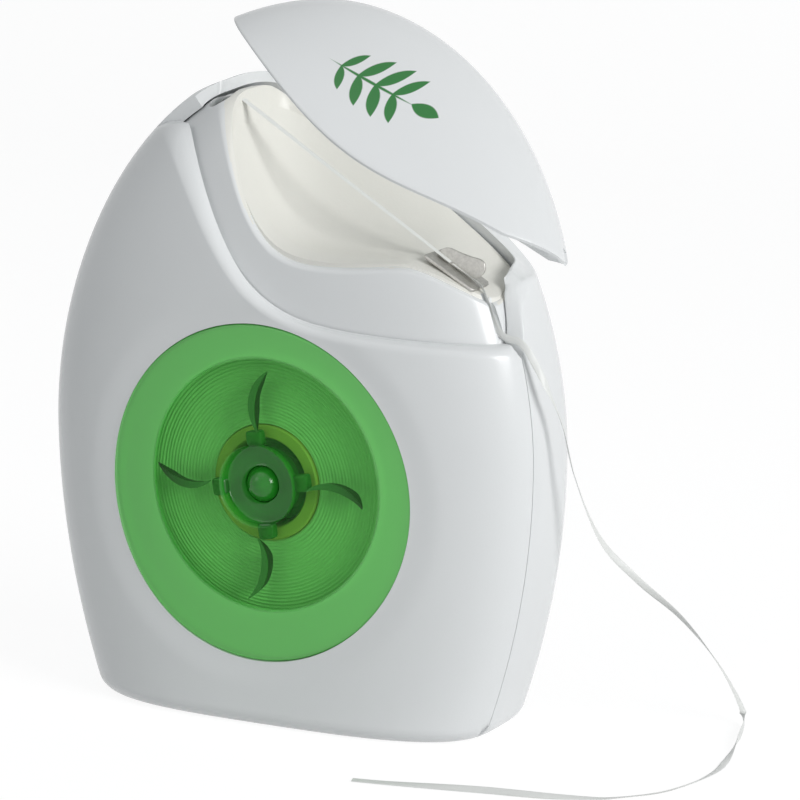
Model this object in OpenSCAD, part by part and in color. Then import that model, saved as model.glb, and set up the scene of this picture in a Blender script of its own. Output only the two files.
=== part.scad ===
// Dental floss dispenser with a tilting cap, a see-through bobbin window and a floss cutter.
// Origin at the bottom centre of the case, +X to the right, the front faces -Y, +Z up.

/* [Case] */
// Widest width of the case, across the belly
body_w = 62; // [60:1:66]
// Height of the case with the cap shut
body_h = 75; // [74:0.5:78]
// Depth of the case from front to back
body_d = 22; // [21.5:0.5:24]
// Width of the case at its base
base_w = 50; // [46:1:54]
// Height of the widest place
belly_z = 32; // [31:0.5:34]
// Roundness of the front in plan, higher is flatter
n_front = 3; // [2.8:0.1:3.4]
// Roundness of the back in plan, higher is flatter
n_back = 4; // [3.6:0.2:4.4]
// Roundness of the upper outline
n_up = 1.9; // [1.85:0.05:2]
// Wall thickness of the two case shells
wall = 1.6; // [1.4:0.1:1.8]
// Radius of the lower edge
edge_r = 2; // [1.9:0.1:2.4]
// How far the seam of the two shells lies in front of the middle
seam_y = 3.5; // [3:0.1:4]
// Gap in every seam between two mouldings
seam_gap = 0.1; // [0.08:0.01:0.15]

/* [Neck] */
// Depth of the shoulder below the crown, where it levels out to the right
shoulder_down = 30; // [29:0.25:30.5]
// How far the shoulder climbs at its left end
shoulder_rise = 18; // [17:0.5:19]
// Depth of the thumb recess below the case surface
neck_in = 1.8; // [1.75:0.05:2]
// Wall thickness of the neck insert
neck_wall = 1.4; // [1.3:0.1:1.5]
// How far the neck insert reaches down behind the front shell
neck_tuck = 2.5; // [2:0.25:3]
// Depth of the front edge of the scooped deck below the crown
deck_down = 22.4; // [21.8:0.2:23]
// How far the deck climbs at its left end
deck_rise = 18; // [17:0.5:19]
// Rise of the rounded front edge of the deck
deck_edge = 1.5; // [1.3:0.1:1.7]

/* [Cap] */
// Depth of the sloping cap joint below the crown, over the middle of the case
joint_down = 10.2; // [9.8:0.2:10.6]
// Fall of the cap joint to the right, for each mm
joint_fall = 0.64; // [0.62:0.01:0.66]
// Rise of the cap joint to the back, for each mm
joint_pitch = 0.5; // [0.48:0.01:0.52]
// How far the thumb lip of the cap hangs down in front
lip_drop = 5.8; // [5.4:0.2:6.2]
// Rise of the right shoulder of the rear shell
ear_rise = 3.5; // [3:0.25:3.75]
// Wall thickness of the cap
cap_wall = 1.5; // [1.4:0.1:1.6]
// Opening angle of the cap at rest, from shut
cap_open = 44; // [40:1:60]
// Length of the film hinge
hinge_len = 14; // [12:1:16]
// Thickness of the film hinge
film_t = 0.45; // [0.4:0.05:0.5]

/* [Window] */
// Diameter of the see-through window
window_d = 38.4; // [37.8:0.2:39]
// Gap between the window and the edge of its opening
window_gap = 0.12; // [0.1:0.01:0.16]
// Thickness of the window
window_t = 1.5; // [1.4:0.1:1.6]
// Outer diameter of the hub cup of the window
hub_d = 9.8; // [9.6:0.1:9.9]
// Diameter of the pin in the middle of the hub
pin_d = 4.2; // [4:0.1:4.3]
// Thickness of the four curved ribs
rib_t = 0.8; // [0.6:0.1:1]

/* [Bobbin] */
// Wall thickness of the bobbin core
core_wall = 1.45; // [1.35:0.05:1.55]
// Running gap between the bobbin core and what it turns on, on the radius
spool_gap = 0.25; // [0.2:0.05:0.3]
// Length of the bobbin core
core_len = 12.8; // [12.6:0.1:13]
// Diameter of the wound floss under its outer layer
pack_d = 27.2; // [26.4:0.2:27.4]
// Width of the floss
floss_w = 0.8; // [0.7:0.05:0.85]
// Distance from loop to loop of the outer layer
loop_step = 1.28; // [1.26:0.01:1.3]

/* [Cutter] */
// Length of the cutter plate along the slope
plate_l = 7; // [6.6:0.1:7.2]
// Width of the cutter plate
plate_w = 4.6; // [4.4:0.1:4.8]
// Thickness of the cutter steel
plate_t = 0.35; // [0.3:0.05:0.4]

/* [Hidden] */
$fn = 96;
white = [0.93, 0.94, 0.95];
cream = [0.87, 0.86, 0.8];
green = [0.25, 0.65, 0.25, 0.6];
steel = [0.7, 0.69, 0.66];
tan_plastic = [0.8, 0.74, 0.5];
floss_white = [0.95, 0.96, 0.94];
// centre of the window, and of the bobbin a little above it
window_x = -0.4;
window_z = 27.1;
spool_z = 27.9;
shoulder_x = -14;
shoulder_z = body_h - shoulder_down;
deck_z = body_h - deck_down;
joint_z = body_h - joint_down;
core_id = hub_d + 2 * spool_gap;
core_od = core_id + 2 * core_wall;
lip_x = 2.4;
lip_w = 15.6;
hinge_x = 8;
tilt = atan(joint_fall);
// centre and slope of the cutter plate
cut_x = 20.6;
cut_y = -2.3;
cut_z = deck_z + 0.25;
cut_tilt = 30;

function smooth(v) = let(t = max(0, min(1, v))) t * t * (3 - 2 * t);
function signed(v, p) = sign(v) * pow(abs(v), p);
function halve(f, lo, hi, k) = k == 0 ? (lo + hi) / 2 : let(m = (lo + hi) / 2) f(m) > 0 ? halve(f, lo, m, k - 1) : halve(f, m, hi, k - 1);

// case surface: every level z is a rounded slice, o is how far inside the outer face
function rise(z, o) = max(0, min(1, (z - belly_z) / (body_h - o - belly_z)));
function edge_in(z, o) = let(r = max(0.4, edge_r - o), d = max(0, r - max(0, z - o))) r - sqrt(max(0, r * r - d * d));
function half_w(z, o) = body_w / 2 - o - edge_in(z, o) - (body_w - base_w) / 2 * pow(max(0, 1 - z / belly_z), 2);
function half_d(z, o) = body_d / 2 - o - edge_in(z, o);
function roundness(a) = sin(a) > 0 ? n_back : n_front;
function case_pt(z, a, o) = let(
    up = rise(z, o),
    n = roundness(a),
    deep = half_d(z, o),
    y = deep * pow(max(0, 1 - pow(up, n)), 1 / n) * signed(sin(a), 2 / n),
    r = pow(max(0, 1 - pow(abs(y) / deep, n)), 1 / n),
    x = sign(cos(a)) * half_w(z, o) * pow(max(0, pow(r, n_up) - pow(up, n_up)), 1 / n_up))
    [x, y, z];
function seam_angle(z, o, y) = asin(min(1, pow(y / (half_d(z, o) * pow(max(0.001, 1 - pow(rise(z, o), n_front)), 1 / n_front)), n_front / 2)));
function front_y(x, z, o) = let(r = pow(pow(abs(x) / half_w(z, o), n_up) + pow(rise(z, o), n_up), 1 / n_up)) -half_d(z, o) * pow(max(0, 1 - pow(r, n_front)), 1 / n_front);
function back_y(x, z, o) = let(r = pow(pow(abs(x) / half_w(z, o), n_up) + pow(rise(z, o), n_up), 1 / n_up)) half_d(z, o) * pow(max(0, 1 - pow(r, n_back)), 1 / n_back);

// the hinge axis lies on the back face at the joint
hinge_y = back_y(hinge_x, joint_z - joint_fall * hinge_x + joint_pitch * 0.43 * body_d, 0);
hinge_z = joint_z - joint_fall * hinge_x + joint_pitch * hinge_y;
echo(hinge_at_mm = [hinge_x, hinge_y, hinge_z], cutter_at_z_mm = cut_z);

// lines on the case: the shoulder, the cap joint and the scooped deck
function shoulder(x) = let(t = max(0, x - shoulder_x)) shoulder_z + shoulder_rise * exp(-pow(t / 9, 1.7)) + 4.5 * exp(-t / 18);
function slope(x, y) = joint_z - joint_fall * x + joint_pitch * y
    - lip_drop * exp(-pow((x - lip_x) / lip_w, 2)) * max(0, min(1, -y * 2 / body_d));
function ear(x, y) = ear_rise * smooth((y + seam_y + 0.1) / 2.6) * (1 - smooth((y - 1) / 8)) * smooth((x - 16) / 9);
function joint(x, y) = slope(x, y) + ear(x, y);
function deck_front(x) = deck_z + deck_rise * exp(-pow(max(0, x + 9) / 5.5, 1.5)) - 0.035 * pow(max(0, x - 15.5), 2);
function deck(x, y) = let(
    edge = deck_edge * (1 - 0.6 * smooth((x - 15) / 8)),
    low = deck_front(x) + edge * (1 - pow(max(0, min(1, (-5.5 - y) / 3.5)), 2)),
    high = joint_z - joint_fall * x + joint_pitch * 8 - 1.2,
    t = max(0, (y + 5.5) / 13.5))
    low + max(0, high - low) * t * t;

// faces between rows of points, rows of n points each
function band(n, j, closed, flip, s) = [for (i = [0 : n - (closed ? 1 : 2)]) let(
    a = s + j * n + i,
    b = s + j * n + (i + 1) % n,
    c = a + n,
    d = b + n)
    each flip ? [[a, c, b], [b, c, d]] : [[a, b, c], [b, d, c]]];
function span(idx_a, idx_b, flip) = [for (i = [0 : len(idx_a) - 2])
    each flip ? [[idx_a[i], idx_b[i], idx_a[i + 1]], [idx_a[i + 1], idx_b[i], idx_b[i + 1]]]
              : [[idx_a[i], idx_a[i + 1], idx_b[i]], [idx_a[i + 1], idx_b[i + 1], idx_b[i]]]];

// half shell, open along its seam and at the top, with a flat base
module half_shell(outer, inner) {
    n = len(outer[0]);
    m = len(outer);
    s = n * m;
    pts = concat([for (r = outer) each r], [for (r = inner) each r]);
    faces = concat(
        [for (j = [0 : m - 2]) each band(n, j, false, true, 0)],
        [for (j = [0 : m - 2]) each band(n, j, false, false, s)],
        span([for (i = [0 : n - 1]) (m - 1) * n + i], [for (i = [0 : n - 1]) s + (m - 1) * n + i], true),
        span([for (j = [0 : m - 1]) j * n], [for (j = [0 : m - 1]) s + j * n], true),
        span([for (j = [0 : m - 1]) j * n + n - 1], [for (j = [0 : m - 1]) s + j * n + n - 1], false),
        [[for (i = [0 : n - 1]) i]],
        [[for (i = [n - 1 : -1 : 0]) s + i]],
        [[0, s + n - 1, s], [0, n - 1, s + n - 1]]);
    polyhedron(points = pts, faces = faces);
}

// ring of columns that ends in one point at the top
module bell(outer, inner, top_out, top_in) {
    n = len(outer[0]);
    m = len(outer);
    s = n * m;
    t = 2 * s;
    pts = concat([for (r = outer) each r], [for (r = inner) each r], [top_out, top_in]);
    faces = concat(
        [for (j = [0 : m - 2]) each band(n, j, true, true, 0)],
        [for (j = [0 : m - 2]) each band(n, j, true, false, s)],
        [for (i = [0 : n - 1]) [(m - 1) * n + i, t, (m - 1) * n + (i + 1) % n]],
        [for (i = [0 : n - 1]) [s + (m - 1) * n + i, s + (m - 1) * n + (i + 1) % n, t + 1]],
        [for (i = [0 : n - 1]) each [[i, (i + 1) % n, s + i], [(i + 1) % n, s + (i + 1) % n, s + i]]]);
    polyhedron(points = pts, faces = faces);
}

// heights of the lower rows, the same share of each wall
function foot(o, k) = o + [0, 0.12, 0.45, 1][k] * max(0.4, edge_r - o);
// rows lie closer together towards the top, where the surface bends most
function closer(s) = 1 - pow(1 - s, 1.7);

// front shell: columns run from the left seam over the front to the right seam
cols_f = 28;
rows_f = 15;
function front_pt(z, f, o, more) = let(a = seam_angle(z, o + more, seam_y + seam_gap / 2)) case_pt(z, a - 180 + (180 - 2 * a) * f, o + more);
function front_top(f, o) = halve(function (z) z - shoulder(front_pt(z, f, o, 0)[0]), shoulder_z - 5, shoulder_z + 24, 16);
function front_rows(o, lip) = let(tops = [for (i = [0 : cols_f]) front_top(i / cols_f, o)])
    concat([for (k = [0 : 3]) [for (i = [0 : cols_f]) front_pt(foot(o, k), i / cols_f, o, 0)]],
        [for (j = [1 : rows_f - 6]) [for (i = [0 : cols_f]) let(b = foot(o, 3))
            front_pt(b + (tops[i] - 0.9 - b) * closer(j / (rows_f - 6)), i / cols_f, o, 0)]],
        [for (k = [0, 1]) [for (i = [0 : cols_f]) front_pt(tops[i] - [0.28, 0][k], i / cols_f, o, [0.22, 0.7][k] * lip)]]);

// rear shell: columns run from the right seam round the back to the left seam
cols_r = 44;
rows_r = 18;
function rear_pt(z, f, o, more) = let(a = seam_angle(z, o + more, seam_y - seam_gap / 2)) case_pt(z, -a + (180 + 2 * a) * f, o + more);
function rear_top(f, o) = halve(function (z) let(p = rear_pt(z, f, o, 0)) z - joint(p[0], p[1]) + seam_gap, shoulder_z - 3, body_h - o - 0.2, 18);
function rear_rows(o, lip) = let(tops = [for (i = [0 : cols_r]) rear_top(i / cols_r, o)])
    concat([for (k = [0 : 3]) [for (i = [0 : cols_r]) rear_pt(foot(o, k), i / cols_r, o, 0)]],
        [for (j = [1 : rows_r - 6]) [for (i = [0 : cols_r]) let(b = foot(o, 3))
            rear_pt(b + (tops[i] - 0.5 - b) * closer(j / (rows_r - 6)), i / cols_r, o, 0)]],
        [for (k = [0, 1]) [for (i = [0 : cols_r]) rear_pt(tops[i] - [0.15, 0][k], i / cols_r, o, [0.08, 0.3][k] * lip)]]);

// neck insert: a closed wall inside the case with the scooped deck on top
cols_n = 44;
deck_mid = [8, 0];
function neck_pt(z, i, o) = case_pt(z, 360 * (i + 0.5) / cols_n, o);
function neck_low(i, o) = halve(function (z) z - shoulder(neck_pt(z, i, o)[0]) + neck_tuck, shoulder_z - 7, shoulder_z + 23, 16);
function neck_high(i, o, down) = halve(function (z) let(p = neck_pt(z, i, o)) z - deck(p[0], p[1]) + down, shoulder_z + 1, body_h - o - 0.1, 18);
function neck_rows(o, down) = let(
    low = [for (i = [0 : cols_n - 1]) neck_low(i, o)],
    high = [for (i = [0 : cols_n - 1]) neck_high(i, o, down)],
    rim = [for (i = [0 : cols_n - 1]) neck_pt(high[i], i, o)])
    concat([for (j = [0 : 4]) [for (i = [0 : cols_n - 1]) neck_pt(low[i] + (high[i] - low[i]) * j / 4, i, o)]],
        [for (j = [1 : 6]) [for (i = [0 : cols_n - 1]) let(
            t = [0.06, 0.16, 0.32, 0.5, 0.7, 0.88][j - 1],
            x = rim[i][0] + (deck_mid[0] - rim[i][0]) * t,
            y = rim[i][1] + (deck_mid[1] - rim[i][1]) * t)
            [x, y, deck(x, y) - down]]]);

// cap, drawn shut: columns from the joint to the crown
cols_c = 64;
rows_c = 12;
// the cap ends just above the joint, and in front just above the shoulder
function cap_foot(x, y) = max(slope(x, y) + max(ear(x, y), ear(x, y + 0.35)) + seam_gap + 0.2, shoulder(x) + seam_gap + 0.05 - 3 * max(0, y + seam_y));
function cap_low(i, o) = halve(function (z) let(p = case_pt(z, 360 * i / cols_c, o)) z - cap_foot(p[0], p[1]), shoulder_z - 5, body_h - o - 0.1, 18);
function cap_rows(o, lip) = let(low = [for (i = [0 : cols_c - 1]) cap_low(i, o)])
    [for (j = [0 : rows_c - 1]) [for (i = [0 : cols_c - 1]) let(
        k = max(0, j - 1) / (rows_c - 1),
        z = j == 0 ? low[i] : body_h - o - (body_h - o - low[i] - 0.35) * (1 - k) * (1 - k))
        case_pt(z, 360 * i / cols_c, o + (j == 0 ? 0.3 * lip : 0))]];

module at_hinge(angle) {
    translate([hinge_x, hinge_y, hinge_z])
        rotate(a = -angle, v = [cos(tilt), 0, -sin(tilt)])
            children();
}

// what follows is drawn looking at the front: local z runs out of the front face
module at_spool() {
    translate([window_x, 0, spool_z])
        rotate([90, 0, 0])
            children();
}

module ring(r_out, r_in, z0, z1) {
    difference() {
        translate([0, 0, z0]) cylinder(r = r_out, h = z1 - z0);
        translate([0, 0, z0 - 1]) cylinder(r = r_in, h = z1 - z0 + 2);
    }
}

// round bar from point a to point b
module rod(a, b, r) {
    d = b - a;
    translate(a) rotate([0, acos(d[2] / norm(d)), atan2(d[1], d[0])]) cylinder(r = r, h = norm(d));
}

module at_cutter() {
    translate([cut_x, cut_y, cut_z])
        rotate([0, cut_tilt, 0])
            children();
}

module front_shell() {
    color(white)
        difference() {
            half_shell(front_rows(0, 1), front_rows(wall, 0));
            translate([window_x, 0, window_z])
                rotate([90, 0, 0])
                    translate([0, 0, 4])
                        cylinder(d = window_d + 2 * window_gap, h = 12);
        }
}

post_len = 13;
post_base = -body_d / 2 + wall;
core_front = 8.3;
core_back = core_front - core_len;
bearing_gap = (core_id - hub_d) / 2;

module rear_shell() {
    color(white)
        difference() {
            union() {
                half_shell(rear_rows(0, 1), rear_rows(wall, 0));
                at_spool() {
                    translate([0, 0, post_base - 0.4]) cylinder(d = hub_d - 0.1, h = post_len + 0.4);
                    translate([0, 0, post_base - 0.4]) cylinder(d = core_od + 1.6, h = core_back - 0.2 - post_base + 0.4);
                }
            }
            at_spool() translate([0, 0, -4]) cylinder(d = pin_d + 0.3, h = 12);
        }
}

module neck_insert() {
    color(cream)
        difference() {
            union() {
                bell(neck_rows(neck_in, 0), neck_rows(neck_in + neck_wall, neck_wall),
                    [deck_mid[0], deck_mid[1], deck(deck_mid[0], deck_mid[1])],
                    [deck_mid[0], deck_mid[1], deck(deck_mid[0], deck_mid[1]) - neck_wall]);
                // seat of the cutter
                at_cutter() translate([-3.4, -1.7, -3.2]) cube([6, 3.8, 3.05]);
            }
            // pocket for the cutter plate
            at_cutter() translate([-plate_l / 2 - 0.25, -plate_w / 2 - 0.2, -plate_t / 2]) cube([plate_l + 0.5, plate_w + 0.4, 6]);
            // slots for the two legs of the cutter
            for (s = [-1, 1]) at_cutter() translate([s * 1.9 - 0.25, -1.05, -2.6]) cube([0.5, 2.1, 4]);
            // exit for the floss at the upper left
            translate([-8.9, -2.6, deck_z + 7.4]) cylinder(r = 1.5, h = 16);
            translate([-8.9, 1, deck_z + 7.4]) cylinder(r = 1.5, h = 16);
            translate([-10.4, -2.6, deck_z + 7.4]) cube([3, 3.6, 16]);
            // groove for the floss over the right edge
            rod(groove_a, groove_b, tube_r + 0.15);
            // room for the window's flange behind the front shell
            translate([window_x, -3, window_z]) rotate([90, 0, 0]) cylinder(r = flange_r + 0.2, h = 12);
        }
}

module cutter_plate() {
    color(steel)
        at_cutter() {
            difference() {
                translate([-plate_l / 2, -plate_w / 2, -plate_t / 2]) cube([plate_l, plate_w, plate_t]);
                // notch left by the raised tongue
                translate([-1.2, -0.9, -1]) cube([plate_l, 0.75, 2]);
                // small mounting hole
                translate([2.4, 1.3, -1]) cylinder(r = 0.45, h = 2);
            }
            // tongue with a round cutting edge
            translate([0, 0.25, 0.05])
                rotate([90, 0, 0])
                    linear_extrude(height = plate_t)
                        polygon([[-2.9, 0], [-2.7, 0.8], [-2, 1.2], [-0.8, 1.4], [0.6, 1.7], [1.6, 1.95], [2.3, 1.9], [2.7, 1.5], [2.75, 1], [2.5, 0.5], [2, 0.2], [1, 0]]);
            // legs pressed into the seat
            for (s = [-1, 1]) translate([s * 1.9 - 0.17, -0.9, -2.3]) cube([0.34, 1.8, 2.2]);
        }
}

module cap() {
    color(white)
        at_hinge(cap_open)
            translate([-hinge_x, -hinge_y, -hinge_z])
                difference() {
                    bell(cap_rows(0, 1), cap_rows(cap_wall, 0), [0, 0, body_h], [0, 0, body_h - cap_wall]);
                    // small notch that lets the drawn floss out when the cap is shut
                    translate([groove_b[0] - 0.8, groove_b[1] - 0.55, shoulder_z - 1]) cube([4.5, 1.1, 2.9]);
                }
}

// film hinge: a thin bent strip on the outside of the two rims, at the back
function turned(x, z) = [x * cos(cap_open) + z * sin(cap_open), z * cos(cap_open) - x * sin(cap_open)];
module hinge_film() {
    skin_y = film_t - 0.12;
    color(white)
        translate([hinge_x, hinge_y, hinge_z])
            rotate([0, tilt, 0])
                translate([-hinge_len / 2, 0, 0])
                    rotate([90, 0, 90])
                        linear_extrude(height = hinge_len)
                            polygon([
                                [-0.45, -1.6],
                                [skin_y, -1.6],
                                [skin_y, -0.15],
                                turned(skin_y, 0.2),
                                turned(skin_y - 0.08, 1),
                                turned(-0.15, 1),
                                turned(-0.01, 0.45),
                                turned(0.02, 0.12),
                                [-0.12, -0.1]]);
}

// window: a see-through disc that follows the case surface, with a flange behind it
segs_w = 44;
function disc_pt(r, i, o) = let(x = window_x + r * cos(360 * i / segs_w), z = window_z + r * sin(360 * i / segs_w)) [x, front_y(x, z, o), z];
window_r = window_d / 2;
flange_r = window_r + 0.9;
disc_profile = [[5, 0.15], [10, 0.15], [14.5, 0.15], [window_r, 0.15], [window_r, wall + 0.05], [flange_r, wall + 0.05], [flange_r, wall + 1], [window_r - 1.8, wall + 1], [window_r - 1.8, 0.15 + window_t], [10, 0.15 + window_t], [5, 0.15 + window_t]];

module window() {
    m = len(disc_profile);
    t = m * segs_w;
    pts = concat([for (p = disc_profile) for (i = [0 : segs_w - 1]) disc_pt(p[0], i, p[1])],
        [disc_pt(0, 0, 0.15), disc_pt(0, 0, 0.15 + window_t)]);
    faces = concat(
        [for (j = [0 : m - 2]) each band(segs_w, j, true, false, 0)],
        [for (i = [0 : segs_w - 1]) [i, t, (i + 1) % segs_w]],
        [for (i = [0 : segs_w - 1]) [t - segs_w + i, t - segs_w + (i + 1) % segs_w, t + 1]]);
    color(green)
        union() {
            difference() {
                polyhedron(points = pts, faces = faces);
                at_spool() cylinder(d = hub_d - 0.6, h = 20);
            }
            at_spool() {
                ring(hub_d / 2, hub_d / 2 - 0.9, 5.6, body_d / 2 - 0.3);
                translate([0, 0, 7.4]) cylinder(d = hub_d - 0.4, h = 1);
                // pin: its rear end plugs into the post, its front end is a dome
                translate([0, 0, -1.5]) cylinder(d = pin_d, h = 9.4);
                difference() {
                    translate([0, 0, 8.3]) sphere(d = pin_d);
                    translate([0, 0, 3.3]) cube([8, 8, 10], center = true);
                }
                // four small tabs over the end of the core
                for (q = [0 : 3]) rotate([0, 0, 90 * q + 8]) translate([4.4, -1, 8.65]) cube([1.8, 2, 1.1]);
                // four curved ribs in front of the winding
                for (q = [0 : 3]) rotate([0, 0, 90 * q])
                    translate([8.9, -4.5, 8.5])
                        rotate([0, 0, 37])
                            rotate_extrude(angle = 85)
                                translate([5.3 - rib_t / 2, 0]) square([rib_t, 1.2]);
            }
        }
}

module bobbin_core() {
    color(tan_plastic)
        at_spool() ring(core_od / 2, core_id / 2, core_back, core_front);
}

pack_front = 7.3;
pack_back = -4.1;
module floss_pack() {
    color(floss_white)
        at_spool() ring(pack_d / 2, core_od / 2 + 0.02, pack_back, pack_front);
}

// outer layer: one tube, first a flat spiral on the front of the pack, then a helix round it
tube_r = floss_w / 2;
skin = 0.03;
loops_face = 5;
loops_side = 8;
face_z = pack_front + tube_r + skin;
side_r = pack_d / 2 + tube_r + 4 * skin;
steps = 24;
turns_in = loops_face * steps;
turns_all = (loops_face + loops_side) * steps;
bend = 4;
function lay(k) = k <= turns_in - bend
    ? [side_r - 0.55 - (turns_in - bend - k) / steps * loop_step, face_z]
    : k < turns_in
        ? let(t = (k - turns_in + bend) / bend * 90) [side_r - 0.55 + 0.55 * sin(t), face_z - 0.55 * (1 - cos(t))]
        : [side_r, face_z - 0.55 - (k - turns_in) / steps * loop_step];
function lay_pt(k) = let(p = lay(k), a = 150 + k * 360 / steps) [p[0] * cos(a), p[0] * sin(a), p[1]];
function ring_pts(k) = let(
    c = lay_pt(k),
    a = 150 + k * 360 / steps)
    [for (q = [0 : 5]) let(w = q * 60 + 30) c + tube_r * [cos(w) * cos(a), cos(w) * sin(a), sin(w)]];
winding_pts = [for (k = [0 : turns_all]) lay_pt(k)];
apart = [for (k = [0 : turns_all - steps]) min([for (j = [k + steps - 3 : min(turns_all, k + steps + 3)]) norm(winding_pts[j] - winding_pts[k])])];
least_gap = min(apart) - floss_w;
echo(least_gap_of_winding_mm = least_gap);

module floss_winding() {
    n = turns_all + 1;
    pts = [for (k = [0 : turns_all]) each ring_pts(k)];
    faces = concat(
        [for (j = [0 : n - 2]) each band(6, j, true, false, 0)],
        [[for (i = [5 : -1 : 0]) i]],
        [[for (i = [0 : 5]) (n - 1) * 6 + i]]);
    color(floss_white) at_spool() polyhedron(points = pts, faces = faces);
}

// tube along a route, n sides
function unit(v) = v / max(1e-9, norm(v));
function route_at(p, t) = let(
    n = len(p) - 1,
    i = min(n - 1, floor(t)),
    f = t - i,
    a = p[max(0, i - 1)],
    b = p[i],
    c = p[i + 1],
    d = p[min(n, i + 2)])
    0.5 * (2 * b + (c - a) * f + (2 * a - 5 * b + 4 * c - d) * f * f + (3 * b - a - 3 * c + d) * f * f * f);
module tube(p, r, rings, sides) {
    n = len(p) - 1;
    c = [for (k = [0 : rings]) route_at(p, n * k / rings)];
    dirs = [for (k = [0 : rings]) unit(c[min(rings, k + 1)] - c[max(0, k - 1)])];
    pts = [for (k = [0 : rings]) let(
        d = dirs[k],
        s = unit(cross(d, [0.25, 0.9, 0.35])),
        u = cross(s, d))
        each [for (q = [0 : sides - 1]) c[k] + r * (cos(360 * q / sides) * s + sin(360 * q / sides) * u)]];
    faces = concat(
        [for (j = [0 : rings - 1]) each band(sides, j, true, false, 0)],
        [[for (i = [sides - 1 : -1 : 0]) i]],
        [[for (i = [0 : sides - 1]) rings * sides + i]]);
    polyhedron(points = pts, faces = faces);
}

// heights of the routes above the shoulder go with the crown
lift = body_h - 75;
groove_a = [24.5, -3.2, 51.2 + lift];
groove_b = [26.6, -3.6, 45.8 + lift];
function lifted(p) = [for (v = p) v + [0, 0, v[2] > 44 ? lift : 0]];
inner_route = lifted([[-15.2, 1.6, 31], [-13.2, 0.8, 42], [-11.2, -0.4, 53], [-9.9, -1.2, 62], [-9.5, -1.6, 66.4]]);
deck_route = lifted([[-9.5, -1.6, 66.6], [-9.6, -1.8, 69], [-8.8, -1.9, 70.3], [-7.4, -1.9, 70.5], [-5.8, -1.9, 69.7], [4, -2.2, 63.6], [14, -2.5, 57.5], [20, -2.7, 53.8]]);
tail_route = lifted([[20.3, -2.7, 53.6], [22.4, -2.9, 52.4], [24, -3.1, 51.4], [25, -3.3, 50], [25.7, -3.5, 47.8], [26.2, -3.6, 46.6], [27.3, -3.6, 46], [28.8, -3.6, 45.95], [29.7, -3.6, 45.1], [30.5, -3.5, 43.8], [32.1, -3.2, 40.8], [33.2, -1.6, 36.5], [34, 0, 30.5], [35.8, 3, 23], [39.2, 6, 18], [43, 9, 13.6], [46, 12.5, 8], [47.6, 15.4, 2.8], [48.2, 15.6, 0.7], [49.4, 12, 0.5], [51.2, 5, 0.5], [52.4, -3, 0.5], [51.4, -10, 0.5], [48.6, -14.5, 0.5], [41.4, -19, 0.5], [33, -21, 0.5], [25.8, -22.4, 0.5], [18.8, -23.6, 0.5]]);

module floss_inner_run() {
    color(floss_white) tube(inner_route, tube_r, 12, 6);
}

module floss_deck_span() {
    color(floss_white) tube(deck_route, tube_r, 28, 6);
}

module floss_tail() {
    color(floss_white) tube(tail_route, tube_r, 80, 8);
}

front_shell();
rear_shell();
neck_insert();
cutter_plate();
cap();
hinge_film();
window();
bobbin_core();
floss_pack();
floss_winding();
floss_inner_run();
floss_deck_span();
floss_tail();
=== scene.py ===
# %% [markdown]
# # A pocket floss dispenser
#
# The part is a small white case with a round green window, a cream deck with a steel cutter,
# and a cap that tips back on a film hinge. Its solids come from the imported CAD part. This script
# lays fine surfaces over them, worked out from the same formulas, and gives each a finish.
# All shape functions below work in millimetres and become metres only when a mesh is made.
# %% Load the part
import math

import bmesh
import bpy
import numpy as np
from mathutils import Euler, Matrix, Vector


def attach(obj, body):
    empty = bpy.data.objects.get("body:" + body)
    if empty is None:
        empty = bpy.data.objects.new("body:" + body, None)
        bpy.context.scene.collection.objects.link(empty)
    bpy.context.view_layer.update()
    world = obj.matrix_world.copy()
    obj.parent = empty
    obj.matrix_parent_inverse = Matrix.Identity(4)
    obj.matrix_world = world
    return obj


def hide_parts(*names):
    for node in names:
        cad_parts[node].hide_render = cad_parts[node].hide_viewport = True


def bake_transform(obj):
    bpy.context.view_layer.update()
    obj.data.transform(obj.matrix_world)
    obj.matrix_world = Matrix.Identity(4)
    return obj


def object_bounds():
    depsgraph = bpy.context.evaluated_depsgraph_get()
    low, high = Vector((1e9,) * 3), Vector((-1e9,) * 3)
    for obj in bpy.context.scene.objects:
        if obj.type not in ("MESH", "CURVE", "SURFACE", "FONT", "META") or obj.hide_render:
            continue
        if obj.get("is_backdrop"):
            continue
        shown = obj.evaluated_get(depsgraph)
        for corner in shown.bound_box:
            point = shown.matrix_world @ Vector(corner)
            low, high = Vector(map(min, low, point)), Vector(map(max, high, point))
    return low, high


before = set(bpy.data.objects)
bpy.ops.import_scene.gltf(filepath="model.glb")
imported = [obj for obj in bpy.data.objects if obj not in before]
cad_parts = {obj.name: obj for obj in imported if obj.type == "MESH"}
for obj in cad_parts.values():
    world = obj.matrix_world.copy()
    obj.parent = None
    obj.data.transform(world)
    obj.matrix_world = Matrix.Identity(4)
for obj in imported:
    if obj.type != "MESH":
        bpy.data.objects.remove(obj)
box_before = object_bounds()
MM = 0.001

# %% [markdown]
# ## Camera
#
# The camera stands where the photograph was taken from: 27.6 degrees round to the right, 11.7
# degrees up and 0.42 m away. These three were found by fitting the outline of the case. A long
# lens keeps the sides nearly parallel. There is no depth of field and no shift.
# %% Camera
azimuth, elevation, distance, lens = math.radians(27.6), math.radians(11.7), 0.42, 168.4
back = np.array([math.sin(azimuth) * math.cos(elevation),
                 -math.cos(azimuth) * math.cos(elevation),
                 math.sin(elevation)])
looked_at = np.array([12.3, 0, 37.1]) * MM
camera = bpy.data.objects.new("camera", bpy.data.cameras.new("camera"))
bpy.context.collection.objects.link(camera)
camera.location = Vector(looked_at + distance * back)
camera.rotation_mode = "QUATERNION"
camera.rotation_quaternion = Vector(-back).to_track_quat("-Z", "Y")
camera.data.lens = lens
camera.data.clip_start, camera.data.clip_end = 0.01, 20
bpy.context.scene.camera = camera
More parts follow.
